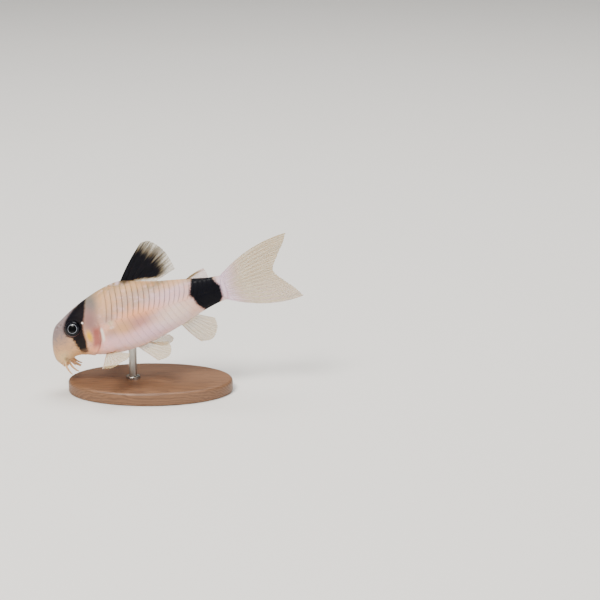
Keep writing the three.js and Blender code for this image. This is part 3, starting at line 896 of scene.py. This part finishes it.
class OBJECT_OT_cory_plates(bpy.types.Operator):
    """Builds the overlapping bony plates of both flanks"""

    bl_idname = "object.cory_plates"
    bl_label = "Plates"
    bl_options = {"REGISTER", "UNDO"}

    def execute(self, context):
        sizes = context.scene.cory_sizes
        step = sizes.plate_step / MM
        across = np.linspace(-0.3, 1.0, 15)[:, None]
        down = np.linspace(0, 1, 30)[None, :]
        shape = (across.size, down.size)
        rim = np.broadcast_to(across, shape).ravel()
        vertices, faces, pairs, rims, downs = [], [], [], [], []
        count = 0
        for hand in (-1, 1):
            for row, plates in (("upper", sizes.upper_plates), ("lower", sizes.lower_plates)):
                share = np.arange(plates + 1) / plates
                first, last = PLATES_FROM[row], PLATES_TO[row]
                edges = first + (last - first) * share * (1.16 - 0.16 * share)
                span = np.broadcast_to(down * 0.55 if row == "upper" else 0.55 + down * 0.45, shape).ravel()
                for k in range(plates):
                    start, pitch = edges[k], edges[k + 1] - edges[k]
                    outer, inner = self.plate(row, start, pitch, across, down, step)
                    for sheet in (outer, inner):
                        sheet[..., 1] *= hand
                    points, quads, shown = slab(outer, inner)
                    place_in_row = (k + 0.03 + 0.94 * np.clip(across, 0, 1)) / plates
                    pairs.append(self.unwrap(hand, row, place_in_row, down, quads, shown))
                    vertices.append(points)
                    faces.append(quads + count)
                    count += len(points)
                    rims.append(np.concatenate([rim, rim]))
                    downs.append(np.concatenate([span, span]))
        piece = make_piece(
            "fish_plates", place(np.concatenate(vertices)), np.concatenate(faces),
            plate_material(context.scene.cory_colours), "skin", None,
            uvs={"OFBake": np.concatenate(pairs)},
            attributes={"plate_rim": np.concatenate(rims), "plate_down": np.concatenate(downs)},
        )
        piece.data.set_sharp_from_angle(angle=math.radians(50))
        return {"FINISHED"}

    def unwrap(self, hand, row, along, down, quads, shown):
        """A plate's patch at its place on an unwrap of the flanks. Its hidden faces shrink to the middle."""
        left = 0.01 if hand < 0 else 0.51
        low = 0.52 if row == "upper" else 0.02
        patch = np.stack(np.broadcast_arrays(along * 0.48 + left, low + 0.46 * (1 - down)), axis=-1)
        patch = np.concatenate([patch.reshape(-1, 2)] * 2)
        root = patch.mean(axis=0)
        corners = patch[quads]
        corners[shown:] = root + (corners[shown:] - root) * 0.003
        return corners.reshape(-1, 2)

    def plate(self, row, start, pitch, across, down, step):
        """The outer and inner grids of one plate of the right flank."""
        if row == "upper":
            lean = -1.2 * down ** 3.5 - 0.25 * (1 - down) ** 3
        else:
            lean = -1.2 + 1.7 * (1 - (1 - down) ** 1.8)
        s = np.clip(start + pitch * across + lean, 0, BODY_LENGTH)
        border = lateral_angle(s)
        if row == "upper":
            top = math.radians(87)
            phi = top + (border - top) * down
        else:
            low = -np.radians(60 + 24 * smooth(17, 21, start))
            phi = border + (low - border) * down
        climb = step if row == "upper" else 0.28 * step
        rise = climb * (smooth(-0.05, 0.9, across) - 1) - 0.02 * np.ones_like(down)
        rounding = 0.5 * climb * smooth(0.88, 1.0, across)
        rounding = rounding + 0.06 * smooth(0.94, 1.0, down) + 0.05 * smooth(0.06, 0.0, down)
        tucked = 0.03 if row == "lower" else 0.0
        outer = skin_point(s, phi, rise - rounding - tucked * smooth(0.2, 0.0, down))
        inner = skin_point(s, phi, np.full(s.shape, -step - 0.16))
        return outer, inner


class OBJECT_OT_cory_eyes(bpy.types.Operator):
    """Builds the two eyes"""

    bl_idname = "object.cory_eyes"
    bl_label = "Eyes"
    bl_options = {"REGISTER", "UNDO"}

    def execute(self, context):
        radius = context.scene.cory_sizes.eye_radius / MM
        material = eye_material(context.scene.cory_colours)
        rings, around = 44, 72
        polar = np.linspace(0.0005, math.pi * 0.62, rings)[:, None]
        turn = np.linspace(0, 2 * math.pi, around + 1)[None, :]
        for hand, node in ((-1, "eye_left"), (1, "eye_right")):
            centre = np.array(EYE_CENTRE) * (1, hand, 1)
            axis = unit(EYE_AXIS) * (1, hand, 1)
            back = unit(np.cross(axis, [0, 0, 1.0])) * -hand
            up = np.cross(back, axis) * -hand
            up = up if up[2] > 0 else -up
            back = back if back[0] > 0 else -back
            out = radius * np.sin(polar)
            points = centre + (out * np.cos(turn))[..., None] * back + (out * np.sin(turn))[..., None] * up
            points = points + (EYE_DEPTH * np.cos(polar) * np.ones_like(turn))[..., None] * axis
            quads = outward(points.reshape(-1, 3), grid_quads(rings, around + 1))
            reach = np.where(polar < math.pi / 2, np.sin(polar), 2 - np.sin(polar))
            pairs = np.stack(np.broadcast_arrays(turn / (2 * math.pi), reach), axis=-1).reshape(-1, 2)
            make_piece(
                f"fish_{node}", place(points.reshape(-1, 3)), quads, material, "eye", [node],
                uvs={"iris": pairs[quads].reshape(-1, 2)},
            )
        return {"FINISHED"}


# Fins. A fan gives the root, tip and bow of the ray at each share u of the fin.


def heading(degrees):
    angle = np.radians(degrees)
    return np.stack([np.cos(angle), np.zeros_like(angle), np.sin(angle)], axis=-1)


def median_fan(root, angle, length, bow):
    """The fan of a fin that stands on the fish's middle."""
    def fan(u):
        start = np.stack([root[0](u), np.zeros_like(u), root[1](u)], axis=-1)
        way = heading(angle(u))
        across = np.stack([-way[..., 2], np.zeros_like(u), way[..., 0]], axis=-1)
        return start, start + way * length(u)[..., None], across * bow(u)[..., None]
    return fan


DORSAL = median_fan(
    (lambda u: 15.6 + 5.8 * u, lambda u: 6.5 - 1.6 * u),
    curve((0, 44.5), (0.15, 42.5), (0.43, 34), (0.71, 25.5), (1, 15)),
    curve((0, 9.3), (0.15, 9.9), (0.43, 9.1), (0.71, 7.4), (1, 5.5)),
    lambda u: 0.28 * (1 - u),
)
ADIPOSE = median_fan(
    (lambda u: 27.2 + 3.2 * u, lambda u: 3.4 - 0.8 * u),
    lambda u: 17 - 6 * u, lambda u: 4.8 - 3.0 * u, lambda u: 0.25 * (1 - u),
)
ANAL = median_fan(
    (lambda u: 24.2 + 2.9 * u, lambda u: -3.6 + 0.75 * u),
    curve((0, -62), (0.5, -48), (1, -30)),
    curve((0, 5.6), (0.3, 6.6), (0.7, 5.8), (1, 4.2)),
    lambda u: -0.2 * (1 - u),
)
CAUDAL_TIP_S = curve((0, 48.3), (0.15, 47.2), (0.3, 45.7), (0.5, 43.9), (0.7, 45.3), (0.85, 46.8), (1, 47.8))
CAUDAL_TIP_Z = curve((0, 6.25), (0.15, 4.6), (0.3, 2.9), (0.5, 0.3), (0.7, -2.3), (0.85, -4.4), (1, -6.3))


def caudal_fan(u):
    zero = np.zeros_like(u)
    start = np.stack([33.6 + zero, zero, 2.1 - 4.1 * u], axis=-1)
    tip = np.stack([CAUDAL_TIP_S(u), zero, CAUDAL_TIP_Z(u)], axis=-1)
    bow = np.stack([zero, zero, 1.25 * (1 - 2 * u) * np.abs(1 - 2 * u) ** 0.5], axis=-1)
    return start, tip, bow


def paired_fan(root, run, first, last, length, hand):
    """The fan of a pectoral or pelvic fin, hand -1 for the fish's left."""
    flip = np.array([1, hand, 1])

    def fan(u):
        way = unit(unit(first) + (unit(last) - unit(first)) * u[..., None]) * flip
        along = np.stack([run * u, np.zeros_like(u), 0.1 * run * u], axis=-1)
        start = np.array(root) * flip + along
        return start, start + way * length(u)[..., None], np.zeros_like(start)
    return fan, unit(np.cross(np.array(first) * flip, np.array(last) * flip))


def pectoral(hand):
    reach = curve((0, 7.0), (0.2, 7.3), (0.6, 6.2), (1, 4.6))
    return paired_fan([9.9, 3.4, -4.35], 1.1, [-0.06, 0.98, -0.1], [0.74, 0.62, -0.16], reach, hand)


def pelvic(hand):
    reach = curve((0, 5.6), (0.35, 6.5), (0.7, 6.0), (1, 4.8))
    return paired_fan([15.3, 1.9, -4.9], 1.3, [0.62, 0.5, -0.6], [0.93, 0.08, -0.24], reach, hand)


class OBJECT_OT_cory_fins(bpy.types.Operator):
    """Builds the fins, with branching rays in a thin membrane"""

    bl_idname = "object.cory_fins"
    bl_label = "Fins"
    bl_options = {"REGISTER", "UNDO"}

    def execute(self, context):
        colours = context.scene.cory_colours
        upright = np.array([0, 1.0, 0])
        pale = pale_look(colours)
        self.fin(context, "dorsal_fin", DORSAL, upright, 8, dorsal_look(colours), "dorsal_fin", 2.2)
        self.fin(context, "adipose_fin", ADIPOSE, upright, 4, adipose_look(colours), "clear_fin", 2.0)
        self.fin(context, "caudal_fin", caudal_fan, upright, 16, caudal_look(colours), "clear_fin", 1.1)
        self.fin(context, "anal_fin", ANAL, upright, 8, pale, "clear_fin", 1.3)
        for hand, side in ((-1, "left"), (1, "right")):
            fan, normal = pectoral(hand)
            self.fin(context, f"pectoral_fin_{side}", fan, normal, 9, pale, "clear_fin", 2.4)
            fan, normal = pelvic(hand)
            self.fin(context, f"pelvic_fin_{side}", fan, normal, 6, pale, "clear_fin", 1.6)
        return {"FINISHED"}

    def fin(self, context, node, fan, side, rays, look, slot, spine):
        """One fin. spine is how many times thicker its first ray is than the others."""
        sizes = context.scene.cory_sizes
        columns = 14 * (rays - 1) + 1
        rows = 64
        u = np.linspace(0, 1, columns)[None, :] * np.ones((rows, 1))
        v = np.linspace(0, 1, rows)[:, None] * np.ones((1, columns))
        place_in_web = u * (rays - 1)
        offset = np.abs((place_in_web + 0.5) % 1.0 - 0.5)
        spread = 0.23 * smooth(0.35, 0.9, v)
        ridge = bump(0, ray_width(rays), offset - spread)
        start, tip, bow = fan(u)
        notch = 0.014 + 0.007 * np.sin(place_in_web * 2.3) + 0.006 * np.sin(place_in_web * 5.9 + 1)
        length = 1 - notch * smooth(0.08, 0.5, np.abs(offset - 0.23)) - 0.005 * smooth(0.3, 0.5, offset)
        along = (v * length)[..., None]
        points = start + (tip - start) * along + bow * 4 * along * (1 - along)
        ripple = 0.10 * np.sin(place_in_web * 1.7 + 0.8) * v ** 2
        points = points + side * ripple[..., None]
        leading = 1 + (spine - 1) * bump(0, 0.35, place_in_web)
        ray_half = sizes.ray / MM * (1 - 0.72 * v) * ridge * leading
        half = (sizes.membrane / MM + ray_half)[..., None]
        vertices, quads, shown = slab(points + side * half, points - side * half)
        flat = np.stack([u, v], axis=-1).reshape(-1, 2)
        corners = np.concatenate([flat, flat])[quads].reshape(-1, 2)
        material = fin_material(f"fish_{node}", context.scene.cory_colours, rays, look)
        make_piece(f"fish_{node}", place(vertices), quads, material, slot, [node], uvs={"rays": corners})


class OBJECT_OT_cory_stand(bpy.types.Operator):
    """Builds the wooden base and the steel rod"""

    bl_idname = "object.cory_stand"
    bl_label = "Stand"
    bl_options = {"REGISTER", "UNDO"}

    def execute(self, context):
        colours = context.scene.cory_colours
        bevel = context.scene.cory_sizes.bevel
        low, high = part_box("stand_base")
        turn = np.linspace(0, 2 * math.pi, 192, endpoint=False)
        rounding = np.linspace(0, math.pi / 2, 9)
        inset = np.concatenate([
            [high.x], bevel * 0.5 * (1 - np.sin(rounding)), bevel * (1 - np.cos(rounding)), [high.x],
        ])
        height = np.concatenate([
            [low.z], low.z + bevel * 0.5 * (1 - np.cos(rounding)),
            high.z - bevel * (1 - np.sin(rounding)), [high.z],
        ])
        centre = (low + high) / 2
        reach_x = np.maximum((high.x - low.x) / 2 - inset, 1e-6)
        reach_y = np.maximum((high.y - low.y) / 2 - inset, 1e-6)
        self.turned(
            "stand_base_wood", centre, reach_x, reach_y, height, turn,
            wood_material(colours), "stand_wood", ["stand_base"],
        )
        low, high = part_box("stand_rod")
        centre = (low + high) / 2
        radius = (high.x - low.x) / 2
        collar = 1.7 * radius
        rise = high.z - low.z
        profile = [
            (0, -0.1), (collar, -0.1), (collar, 0.3), (0.93 * collar, 0.4), (1.1 * radius, 0.45),
            (radius, 0.5), (radius, rise / MM + 0.5), (0, rise / MM + 0.5),
        ]
        reach, height = np.array(profile).T
        reach = np.maximum(reach, 1e-6)
        height = low.z + height * MM
        self.turned(
            "stand_rod_steel", centre, reach, reach, height, turn[::3],
            steel_material(colours), "stand_steel", ["stand_rod"],
        )
        return {"FINISHED"}

    def turned(self, name, centre, reach_x, reach_y, height, turn, material, slot, replaces):
        """A form with oval sections, from a profile of reaches and heights."""
        points = np.stack([
            centre.x + reach_x[:, None] * np.cos(turn), centre.y + reach_y[:, None] * np.sin(turn),
            height[:, None] * np.ones_like(turn),
        ], axis=-1)
        quads = outward(points.reshape(-1, 3), grid_quads(*points.shape[:2], wrap=True))
        piece = make_piece(name, points.reshape(-1, 3), quads, material, slot, replaces)
        piece.data.set_sharp_from_angle(angle=math.radians(40))


class OBJECT_OT_cory_stage(bpy.types.Operator):
    """Sets up the floor, the lights and the camera"""

    bl_idname = "object.cory_stage"
    bl_label = "Stage"
    bl_options = {"REGISTER", "UNDO"}

    def execute(self, context):
        scene = context.scene
        width, front, back, bend, height = 4.0, -1.2, 1.6, 0.6, 2.2
        turn = np.linspace(0, math.pi / 2, 16)
        depth = np.concatenate([[front], back + bend * np.sin(turn), [back + bend]])
        rise = np.concatenate([[0], bend * (1 - np.cos(turn)), [height]])
        points = np.array([[(x, y, z - 0.00002) for x in (-width, width)] for y, z in zip(depth, rise)])
        sweep = make_piece(
            "stage_sweep", points.reshape(-1, 3), grid_quads(len(depth), 2)[:, ::-1],
            stage_material(scene.cory_colours), None, None,
        )
        self.lamp("stage_key", (-0.22, -0.35, 0.6), 0.26, 7.4, (1.0, 0.97, 0.93))
        self.lamp("stage_fill", (0.5, -0.5, 0.2), 0.5, 1.7, (0.93, 0.96, 1.0))
        self.lamp("stage_top", (0.05, 0.2, 0.65), 0.4, 4.4, (1.0, 1.0, 1.0))
        world = bpy.data.worlds.new("stage_world")
        world.use_nodes = True
        background = world.node_tree.nodes["Background"]
        background.inputs["Color"].default_value = (0.9, 0.93, 1.0, 1)
        background.inputs["Strength"].default_value = 0.26
        scene.world = world
        view = scene.cory_view
        aim = Vector(view.aim)
        back_way = Vector((0, -math.cos(view.elevation), math.sin(view.elevation)))
        camera = bpy.data.objects.new("stage_camera", bpy.data.cameras.new("stage_camera"))
        camera.data.sensor_width = 36
        camera.data.lens = view.lens
        camera.data.clip_start = 0.01
        camera.data.clip_end = 20
        camera.location = aim + back_way * view.distance
        camera.rotation_euler = (-back_way).to_track_quat("-Z", "Y").to_euler()
        context.collection.objects.link(camera)
        scene.camera = camera
        return {"FINISHED"}

    def lamp(self, name, position, size, power, colour):
        """A soft square lamp that faces the fish."""
        data = bpy.data.lights.new(name, "AREA")
        data.size = size
        data.energy = power
        data.color = colour
        lamp = bpy.data.objects.new(name, data)
        lamp.location = position
        way = Vector((0.005, 0, 0.015)) - Vector(position)
        lamp.rotation_euler = way.to_track_quat("-Z", "Y").to_euler()
        bpy.context.collection.objects.link(lamp)


PIECES = (
    OBJECT_OT_cory_skin, OBJECT_OT_cory_plates, OBJECT_OT_cory_eyes,
    OBJECT_OT_cory_fins, OBJECT_OT_cory_stand, OBJECT_OT_cory_stage,
)


class VIEW3D_PT_cory(bpy.types.Panel):
    """Lists the pieces of the fish and their settings"""

    bl_idname = "VIEW3D_PT_cory"
    bl_label = "Corydoras"
    bl_space_type = "VIEW_3D"
    bl_region_type = "UI"
    bl_category = "Corydoras"

    def draw(self, context):
        for piece in PIECES:
            self.layout.operator(piece.bl_idname)
        for group in (context.scene.cory_sizes, context.scene.cory_view, context.scene.cory_colours):
            box = self.layout.box()
            for name in group.__annotations__:
                box.prop(group, name)


CLASSES = (CorySizes, CoryView, CoryColours, *PIECES, VIEW3D_PT_cory)


def register():
    for cls in CLASSES:
        bpy.utils.register_class(cls)
    bpy.types.Scene.cory_sizes = PointerProperty(type=CorySizes)
    bpy.types.Scene.cory_view = PointerProperty(type=CoryView)
    bpy.types.Scene.cory_colours = PointerProperty(type=CoryColours)


def unregister():
    del bpy.types.Scene.cory_colours
    del bpy.types.Scene.cory_view
    del bpy.types.Scene.cory_sizes
    for cls in reversed(CLASSES):
        bpy.utils.unregister_class(cls)


def main():
    register()
    bpy.ops.object.cory_skin()
    bpy.ops.object.cory_plates()
    bpy.ops.object.cory_eyes()
    bpy.ops.object.cory_fins()
    bpy.ops.object.cory_stand()
    bpy.ops.object.cory_stage()
    bpy.context.view_layer.update()


if __name__ == "__main__":
    main()
